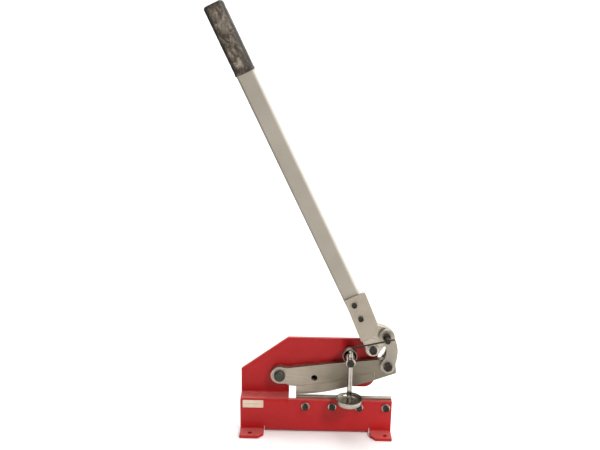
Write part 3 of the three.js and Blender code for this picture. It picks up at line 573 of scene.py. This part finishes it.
def threads(r, z0, z1, pitch, ax, origin, n=40, end_taper=True):
    """Rings of a helical thread from z0 to z1."""
    depth = 0.61 * pitch
    rings = []
    step = pitch / 6
    k = max(2, int(abs(z1 - z0) / step))
    for i in range(k + 1):
        z = z0 + (z1 - z0) * i / k
        pts = []
        for j in range(n):
            t = 2 * math.pi * j / n
            ph = ((z / pitch) - t / (2 * math.pi)) % 1.0
            tri = abs(ph * 2 - 1)
            tri = min(1.0, max(0.0, (tri - 0.12) / 0.76))
            rr = r - depth * (1 - tri)
            d_end = abs(z1 - z)
            if end_taper:
                rr = min(rr, r - depth * 0.9 + d_end * 1.0)
            if abs(z - z0) < pitch * 0.6:
                rr = rr + (r - rr) * (1 - abs(z - z0) / (pitch * 0.6))
            x, y, w = ax
            pts.append(origin + (x * (rr * math.cos(t)) + y * (rr * math.sin(t)) + w * z) * MM)
        rings.append(pts)
    return rings


def hex_bolt(name, x, z, af, r, y_face, h, y_end, body, node, slot, mat, spin=0.0, pitch=1.25, thread_from=None, seat=None):
    """Hexagon-head bolt along +Y; its head's outer face is at y_face and its shank ends at y_end."""
    bm = bmesh.new()
    o = P(x, y_face + h, z)
    prof, r0 = hex_profile(af, h)
    # forged mark on the head: a shallow dished centre
    prof += [(r0 * 0.80, h - 0.03), (r0 * 0.74, h - 0.22), (r0 * 0.3, h - 0.34)]
    turned(bm, o, (0, -1, 0), prof, 96, spin)
    ax = basis((0, 1, 0))
    o2 = P(x, 0, z)
    tf = thread_from if thread_from is not None else y_end
    rings = [ring_pts(o2, ax, r * 1.12, y_face + h + 0.02, 40), ring_pts(o2, ax, r, y_face + h + 0.5, 40)]
    if tf < y_end:
        rings.append(ring_pts(o2, ax, r, tf - 0.1, 40))
        rings += threads(r, tf, y_end, pitch, ax, o2)
    else:
        rings += [ring_pts(o2, ax, r, y_end - 0.8, 40), ring_pts(o2, ax, r - 0.7, y_end, 40)]
    grid_to_bm(bm, rings)
    return finish_piece(name, bm, mat, body, [node])


def hex_nut(name, x, z, af, ri, y0, y1, body, node, slot, mat, spin=0.0):
    bm = bmesh.new()
    o = P(x, y0, z)
    ax = basis((0, 1, 0), spin)
    prof, r0 = hex_profile(af, y1 - y0, both=True)
    h = y1 - y0
    n = 96
    outer = prof + [(ri + 0.9, h), (ri, h - 0.9), (ri, 0.9), (ri + 0.9, 0.0)]
    vr = [[bm.verts.new(p) for p in ring_pts(o, ax, r, zz, n)] for r, zz in outer]
    vr.append(vr[0])
    for a, b in zip(vr[:-1], vr[1:]):
        for i in range(n):
            j = (i + 1) % n
            bm.faces.new((a[i], a[j], b[j], b[i]))
    return finish_piece(name, bm, mat, body, [node])


def flat_washer(name, x, z, ri, ro, y0, y1, body, node, slot, mat):
    bm = bmesh.new()
    h = y1 - y0
    c = 0.25
    prof = [(ri, c * 0.6), (ri + c * 0.6, 0), (ro - c, 0), (ro, c), (ro, h - c), (ro - c, h), (ri + c * 0.6, h), (ri, h - c * 0.6)]
    ringbody(bm, P(x, y0, z), (0, 1, 0), prof, 72)
    return finish_piece(name, bm, mat, body, [node])


# --------------------------------------------------------------------- plates
from_cad("frame_plate", "frame", M["red"], 0.75, 3, 32, M["red_edge"])
from_cad("lower_blade", "frame", M["blade"], 0.25, 2, 32, M["blade_edge"])
from_cad("upper_blade", "lever", M["lever"], 0.12, 2, 32, M["lever"])
from_cad("blade_lever", "lever", M["lever"], 0.55, 3, 32, M["lever_edge"])
from_cad("link_front", "links", M["link"], 0.7, 3, 32, M["link_edge"])
from_cad("link_rear", "links", M["link"], 0.7, 3, 32, M["link_edge"])
from_cad("bracket_cheek_front", "handle", M["cheek"], 0.6, 3, 32, M["cheek_edge"])
from_cad("bracket_cheek_rear", "handle", M["cheek"], 0.6, 3, 32, M["cheek_edge"])
from_cad("spacer_plate_front", "handle", M["cheek"], 0.4, 2, 32, M["cheek_edge"])
from_cad("spacer_plate_rear", "handle", M["cheek"], 0.4, 2, 32, M["cheek_edge"])
from_cad("cam_plate", "handle", M["cam"], 0.6, 3, 32, M["cam_edge"])
from_cad("handle_tube", "handle", M["tube"], 0.3, 2, 40)
from_cad("front_label", "frame", M["label"], 0.12, 2, 40)
from_cad("lever_bush", "lever", M["bronze"], 0.3, 2, 40)
for i in range(1, 5):
    from_cad(f"upper_blade_screw_{i}", "lever", M["black"], 0.2, 2, 40)

# ------------------------------------------------------------------ fasteners
BZ = 61.5
for i, x in enumerate((-22, 33.5, 89.5, 145)):
    k = i + 1
    flat_washer(f"blade_washer_{k}_turned", x, BZ, 4.3, 8.6, -2, -0.3, "frame", f"blade_washer_{k}", "zinc_plate", M["zinc"])
    hex_bolt(f"blade_bolt_{k}_forged", x, BZ, 12.5, 4, -7.6, 5.3, 15.9, "frame", f"blade_bolt_{k}", "black_oxide", M["black"], i * 0.4, 1.25, 8)

LP = (-76.8, 121.6)
bm = bmesh.new()
turned(bm, P(LP[0], 0, LP[1]), (0, 1, 0), [
    (2.2, 9.3), (4.5, 9.0), (7.6, 8.75), (9.2, 8.95), (10.4, 9.5), (11.2, 10.4), (11.55, 11.4), (11.6, 12.4), (11.6, 15.9), (11.2, 16.3),
    (8.0, 16.3), (8.0, 38.6)], 72)
grid_to_bm(bm, threads(8.0, 38.7, 51.5, 2.0, basis((0, 1, 0)), P(LP[0], 0, LP[1]), 48))
finish_piece("lever_pivot_pin_turned", bm, M["pin"], "frame", ["lever_pivot_pin"])
flat_washer("lever_pivot_washer_turned", *LP, 8.3, 15, 38.8, 41, "frame", "lever_pivot_washer", "zinc_plate", M["zinc"])
hex_nut("lever_pivot_nut_forged", *LP, 24, 8.1, 41.3, 50, "frame", "lever_pivot_nut", "black_oxide", M["black"], 0.2)

HP = (115, 185)
flat_washer("handle_pivot_washer_turned", *HP, 6.3, 11.5, 14.2, 16.4, "frame", "handle_pivot_washer", "zinc_plate", M["zinc"])
hex_bolt("handle_pivot_bolt_forged", *HP, 15, 6, 6.8, 7.1, 51, "frame", "handle_pivot_bolt", "black_oxide", M["black"], 0.25, 1.75, 39)
flat_washer("handle_pivot_washer_rear_turned", *HP, 6.3, 11.5, 38.8, 41, "frame", "handle_pivot_washer_rear", "zinc_plate", M["zinc"])
hex_nut("handle_pivot_nut_forged", *HP, 17, 6.1, 41.3, 49.5, "frame", "handle_pivot_nut", "black_oxide", M["black"], 0.1)

LL = (146, 151.5)
hex_bolt("lower_link_bolt_forged", *LL, 16.5, 6, 1.2, 7.0, 49, "links", "lower_link_bolt", "black_oxide", M["black"], 0.3, 1.75, 39)
hex_nut("lower_link_nut_forged", *LL, 17, 6.1, 39.2, 47, "links", "lower_link_nut", "black_oxide", M["black"], 0.1)

COS, SIN = math.cos(math.radians(25.75)), math.sin(math.radians(25.75))
TE = (93.3, 244.9)


def across(s, a):
    return TE[0] + s * COS - a * SIN, TE[1] + s * SIN + a * COS


for i, a in enumerate((47, 15)):
    x, z = across(-0.5, a)
    k = i + 1
    hex_bolt(f"cheek_bolt_{k}_forged", x, z, 10, 3, -2.1, 4.2, 52.0, "handle", f"cheek_bolt_{k}", "black_oxide", M["black"], 0.3 + i * 0.5, 1.0, 44)
    hex_nut(f"cheek_nut_{k}_forged", x, z, 10, 3.05, 45.3, 50.5, "handle", f"cheek_nut_{k}", "black_oxide", M["black"], 0.6)

# upper link bolt: plain turned end that sticks out, drilled for the stop rod
UP = (141, 216.5)
tmp_rod_a, tmp_rod_c = P(71.5, 3, 193.3), P(UP[0], -9.5, UP[1])
rod_dir = (tmp_rod_c - tmp_rod_a).normalized()
rod_end = tmp_rod_c + rod_dir * 15 * MM
bm = bmesh.new()
turned(bm, P(UP[0], 0, UP[1]), (0, 1, 0), [
    (2.0, -14.0), (4.6, -14.2), (5.3, -14.0), (5.8, -13.3), (5.9, -12.5), (5.9, 0.8), (6.1, 1.0), (7.4, 1.0), (8.0, 1.6), (8.0, 7.7), (7.6, 8.2),
    (5.0, 8.2), (5.0, 38.9), (4.0, 39.3), (4.0, 45.0), (3.6, 45.5)], 72)
ob = finish_piece("upper_link_bolt_turned", bm, M["black"], "handle", ["upper_link_bolt"])
bm = bmesh.new()
turned(bm, tmp_rod_a - rod_dir * 0.02, rod_dir, [(2.05, 0), (2.05, 120)], 32)
cutter_me = bpy.data.meshes.new("cutter")
bmesh.ops.recalc_face_normals(bm, faces=bm.faces)
bm.to_mesh(cutter_me)
bm.free()
cutter = bpy.data.objects.new("cutter", cutter_me)
bpy.context.scene.collection.objects.link(cutter)
mod = ob.modifiers.new("bore", "BOOLEAN")
mod.operation = "DIFFERENCE"
mod.solver = "EXACT"
mod.object = cutter
dg = bpy.context.evaluated_depsgraph_get()
cut_me = bpy.data.meshes.new_from_object(ob.evaluated_get(dg))
ob.modifiers.clear()
old = ob.data
ob.data = cut_me
bpy.data.meshes.remove(old)
bpy.data.objects.remove(cutter)
hex_nut("upper_link_nut_forged", *UP, 13, 4.1, 39.5, 44.5, "handle", "upper_link_nut", "black_oxide", M["black"], 0.4)

bm = bmesh.new()
L_rod = (rod_end - tmp_rod_a).length / MM
turned(bm, tmp_rod_a, rod_dir, [(0.9, 0), (1.45, 0.15), (1.75, 0.7), (1.75, L_rod - 0.7), (1.45, L_rod - 0.15), (0.9, L_rod)], 32)
finish_piece("stop_rod_drawn", bm, M["black"], "handle", ["stop_rod"])

# ------------------------------------------------------------------ hold-down
SX, SZ = 67, 176.5
bm = bmesh.new()
turned(bm, P(SX, 0, SZ), (0, 1, 0), [
    (4.3, -30), (8.9, -30), (9.7, -29.6), (10, -28.9), (10, 30.8), (9.6, 31.2), (6, 31.2), (6, 38.6)], 72, closed=True)
grid_to_bm(bm, threads(6.0, 38.7, 51, 1.75, basis((0, 1, 0)), P(SX, 0, SZ), 40))
finish_piece("hold_down_stud_turned", bm, M["chrome"], "frame", ["hold_down_stud"])

bm = bmesh.new()
prof = [(13.0, 0.3), (13.3, -0.3), (13.7, -0.5), (14.3, -0.5), (14.8, -0.2), (15.0, 0.4), (15.0, 15.6), (14.7, 16.3), (14.2, 16.6),
        (10.3, 16.6), (10.3, 9.0), (12.4, 9.0), (13.0, 8.4)]
# the cup's recess faces take the near-black material: painted shade in the recess
ringbody(bm, P(SX, 0, SZ), (0, 1, 0), prof, 80, [0] * 9 + [1, 1, 1, 1])
finish_piece("hold_down_collar_turned", bm, [M["collar"], M["collar_dark"]], "frame", ["hold_down_collar"])
flat_washer("stud_washer_turned", SX, SZ, 6.3, 11.5, 38.8, 41, "frame", "stud_washer", "zinc_plate", M["zinc"])
hex_nut("stud_nut_forged", SX, SZ, 17, 6.1, 41.3, 49.5, "frame", "stud_nut", "black_oxide", M["black"], 0.3)

bm = bmesh.new()
prof, r0 = hex_profile(14, 5.2)
prof += [(r0 * 0.8, 5.15), (r0 * 0.7, 4.9), (r0 * 0.3, 4.8)]
turned(bm, P(SX, -30.3, SZ), (0, -1, 0), prof, 96, 0.1)
grid_to_bm(bm, [ring_pts(P(SX, 0, SZ), basis((0, 1, 0)), 3.9, -30.6, 32), ring_pts(P(SX, 0, SZ), basis((0, 1, 0)), 3.9, -27.5, 32)])
finish_piece("rod_lock_screw_forged", bm, M["black"], "lock_screw", ["rod_lock_screw"])

bm = bmesh.new()
turned(bm, P(SX, -22, 0), (0, 0, 1), [
    (2.6, 82.9), (4.0, 83.0), (4.7, 83.5), (5.0, 84.3), (5.0, 194.5), (4.85, 195.6), (4.4, 196.8), (3.4, 197.6), (1.8, 198.0)], 64)
finish_piece("hold_down_rod_turned", bm, M["chrome"], "hold_down_screw", ["hold_down_rod"])

bm = bmesh.new()
prof = [(19.0, 80.0), (19.8, 80.15), (24.2, 82.5), (25.6, 83.7), (26.6, 85.4), (27.0, 87.0), (27.0, 93.2), (26.75, 93.8), (26.2, 94.0), (25.6, 93.9), (25.2, 93.4),
        (25.0, 92.0), (24.4, 89.6), (23.0, 87.6), (20.8, 86.0), (17.0, 85.1), (12.0, 84.7), (7.0, 84.6), (5.9, 84.6), (5.45, 84.3), (5.4, 82.6), (0.4, 82.5)]
ax = basis((0, 0, 1))
rings = [ring_pts(P(SX, -22, 0), ax, r, z, 96) for r, z in [(6, 80.0)] + prof]
vr = grid_to_bm(bm, rings, True, True, 0)
bm.faces.ensure_lookup_table()
c = P(SX, -22, 0)
for f in bm.faces:
    m = f.calc_center_median()
    rr = math.hypot(m.x - c.x, m.y - c.y) / MM
    zz = m.z / MM
    if rr > 25.15 and zz > 82.0:
        f.material_index = 1
finish_piece("hold_down_foot_turned", bm, [M["pad"], M["pad_rim"]], "hold_down_pad", ["hold_down_foot"])

# ----------------------------------------------------------------------- grip
TUBE_LEN, GRIP_LEN, G = 684.5, 136.5, 36.4
hx, hy, hz = Vector((COS, 0, SIN)), Vector((0, 1, 0)), Vector((-SIN, 0, COS))
g0 = P(TE[0], 23.7, TE[1])


def rsq(half, rad, n=72):
    """Points of a rounded square of half-width half, evenly spaced round it."""
    pts = []
    s = half - rad
    per = 8 * s + 2 * math.pi * rad
    for i in range(n):
        d = per * i / n
        q = int(d // (per / 4)) % 4
        e = d - q * per / 4
        if e < s:
            p = (half, e)
        elif e < s + math.pi * rad / 2:
            t = (e - s) / rad
            p = (s + rad * math.cos(t), s + rad * math.sin(t))
        else:
            p = (s - (e - s - math.pi * rad / 2), half)
        for _ in range(q):
            p = (-p[1], p[0])
        pts.append(p)
    return pts


rings = []
half = G / 2
n_len = 90
base = TUBE_LEN - GRIP_LEN


def grip_ring(a, h, rad, wob, wider=1.15):
    out = []
    for px, py in rsq(h, rad):
        px *= (h + wider) / h
        v = g0 + (hx * px + hy * py + hz * a) * MM
        if wob:
            nrm = (hx * px + hy * py).normalized()
            k = noise.noise(v * 95.0) * 0.5 + noise.noise(v * 240.0) * 0.22
            v = v - nrm * (abs(k) * wob) * MM
        out.append(v)
    return out


rings.append(grip_ring(base + 0.4, 16.4, 5.2, 0, 1.4))
rings.append(grip_ring(base, 16.7, 5.6, 0, 1.4))
rings.append(grip_ring(base, half - 0.7, 8.0, 0))
rings.append(grip_ring(base + 0.25, half - 0.2, 8.3, 0))
rings.append(grip_ring(base + 0.9, half, 8.6, 0))
rings.append(grip_ring(base + 4.2, half, 8.6, 0.1))
rings.append(grip_ring(base + 5.2, half - 0.45, 8.8, 0.2))
for i in range(n_len):
    a = base + 6.5 + (GRIP_LEN - 6.5 - 5.5) * i / (n_len - 1)
    rings.append(grip_ring(a, half - 0.35, 8.6, 1.0))
for i in range(1, 11):
    t = i / 10 * math.pi / 2
    a = TUBE_LEN - 5.5 + 5.2 * math.sin(t)
    h = (half - 0.35) - 5.4 * (1 - math.cos(t))
    rings.append(grip_ring(a, h, 8.6 - 3.6 * (1 - math.cos(t)), 0.9 * (1 - i / 12)))
rings.append(grip_ring(TUBE_LEN - 0.12, 8.5, 4.0, 0.1))
rings.append(grip_ring(TUBE_LEN, 3.0, 1.8, 0))
bm = bmesh.new()
# inner bore of the sleeve, so that it is a real skin over the tube's end
inner = [grip_ring(TUBE_LEN - 5.2, 16.3, 5.2, 0, 1.5), grip_ring(base + 0.4, 16.3, 5.2, 0, 1.5)]
allr = inner + rings[1:]
grid_to_bm(bm, allr, True, True)
finish_piece("handle_grip_sleeve", bm, M["grip"], "handle", ["handle_grip"], 60)

# ---------------------------------------------------------------- the setting
def softbox(name, loc, target, size, energy, color=(1, 1, 1), size_y=None):
    l = bpy.data.lights.new(name, "AREA")
    l.energy = energy
    l.color = color
    l.shape = "RECTANGLE"
    l.size = size
    l.size_y = size_y or size
    o = bpy.data.objects.new(name, l)
    bpy.context.scene.collection.objects.link(o)
    o.location = loc
    d = Vector(target) - Vector(loc)
    o.rotation_euler = d.to_track_quat("-Z", "Y").to_euler()
    return o


# round white sweep: floor and wall in one skin
bm = bmesh.new()
R_CYC, R_BEND, H_CYC = 3.4, 1.1, 4.2
prof = [(0.0001, 0.0), (0.5, 0.0), (1.2, 0.0), (R_CYC - R_BEND, 0.0)]
for i in range(1, 13):
    t = math.pi / 2 * i / 12
    prof.append((R_CYC - R_BEND + R_BEND * math.sin(t), R_BEND * (1 - math.cos(t))))
prof.append((R_CYC, H_CYC))
N_CYC = 96
cols = [[bm.verts.new((r * math.cos(2 * math.pi * i / N_CYC), r * math.sin(2 * math.pi * i / N_CYC), z - 0.0002)) for i in range(N_CYC)] for r, z in prof]
for a, b in zip(cols[:-1], cols[1:]):
    for i in range(N_CYC):
        j = (i + 1) % N_CYC
        bm.faces.new((a[i], a[j], b[j], b[i]))
bmesh.ops.remove_doubles(bm, verts=bm.verts, dist=1e-5)
me = bpy.data.meshes.new("studio_floor")
bm.to_mesh(me)
bm.free()
for p in me.polygons:
    p.use_smooth = True
floor = bpy.data.objects.new("studio_floor", me)
bpy.context.scene.collection.objects.link(floor)
fm = bpy.data.materials.new("studio_white")
fm.use_nodes = True
fb = fm.node_tree.nodes["Principled BSDF"]
fb.inputs["Base Color"].default_value = (0.90, 0.90, 0.895, 1)
fb.inputs["Roughness"].default_value = 0.9
fb.inputs["Specular IOR Level"].default_value = 0.1
me.materials.append(fm)

w = bpy.data.worlds.new("studio")
bpy.context.scene.world = w
w.use_nodes = True
w.node_tree.nodes["Background"].inputs["Color"].default_value = (1.0, 0.995, 0.985, 1)
w.node_tree.nodes["Background"].inputs["Strength"].default_value = 0.13

softbox("key", (1.25, -1.35, 1.75), (0.03, 0, 0.15), 0.26, 36, (1.0, 0.985, 0.965))
softbox("rim", (1.9, 0.30, 0.95), (0.0, 0.02, 0.35), 0.7, 5.5, (1.0, 0.995, 0.985), 1.3)
softbox("top", (0.1, 0.5, 2.7), (0, 0.3, 0), 2.2, 50)
softbox("wall", (0.0, 1.3, 2.9), (0, 3.4, 0.9), 2.4, 70)

# black card at the left, off camera, which keeps the left edges dark
bm = bmesh.new()
f = [bm.verts.new(c) for c in ((-0.80, -1.05, 0.01), (-0.70, 0.25, 0.01), (-0.70, 0.25, 1.45), (-0.80, -1.05, 1.45))]
bm.faces.new(f)
me = bpy.data.meshes.new("black_card")
bm.to_mesh(me)
bm.free()
card = bpy.data.objects.new("black_card", me)
bpy.context.scene.collection.objects.link(card)
cm = bpy.data.materials.new("card_black")
cm.use_nodes = True
cm.node_tree.nodes["Principled BSDF"].inputs["Base Color"].default_value = (0.012, 0.012, 0.012, 1)
cm.node_tree.nodes["Principled BSDF"].inputs["Roughness"].default_value = 0.9
me.materials.append(cm)
card.visible_camera = False
card.visible_shadow = False

cam = bpy.data.cameras.new("camera")
cam.sensor_width = 36.0
cam.lens = 740.0 * 36.0 / 600.0
cam.clip_start = 0.05
cam.clip_end = 30
co = bpy.data.objects.new("camera", cam)
bpy.context.scene.collection.objects.link(co)
yaw, pitch, roll = math.radians(-0.729), math.radians(15.979), math.radians(0.874)
fwd = Vector((math.sin(yaw) * math.cos(pitch), math.cos(yaw) * math.cos(pitch), -math.sin(pitch)))
right = Vector((math.cos(yaw), -math.sin(yaw), 0))
up = right.cross(fwd)
r2 = right * math.cos(roll) + up * math.sin(roll)
u2 = up * math.cos(roll) - right * math.sin(roll)
mw = Matrix.Identity(4)
for i in range(3):
    mw[i][0], mw[i][1], mw[i][2] = r2[i], u2[i], -fwd[i]
loc = P(-21.3, -1375.5, 846.7)
mw[0][3], mw[1][3], mw[2][3] = loc
co.matrix_world = mw
bpy.context.scene.camera = co
bpy.context.scene.view_settings.view_transform = "Standard"
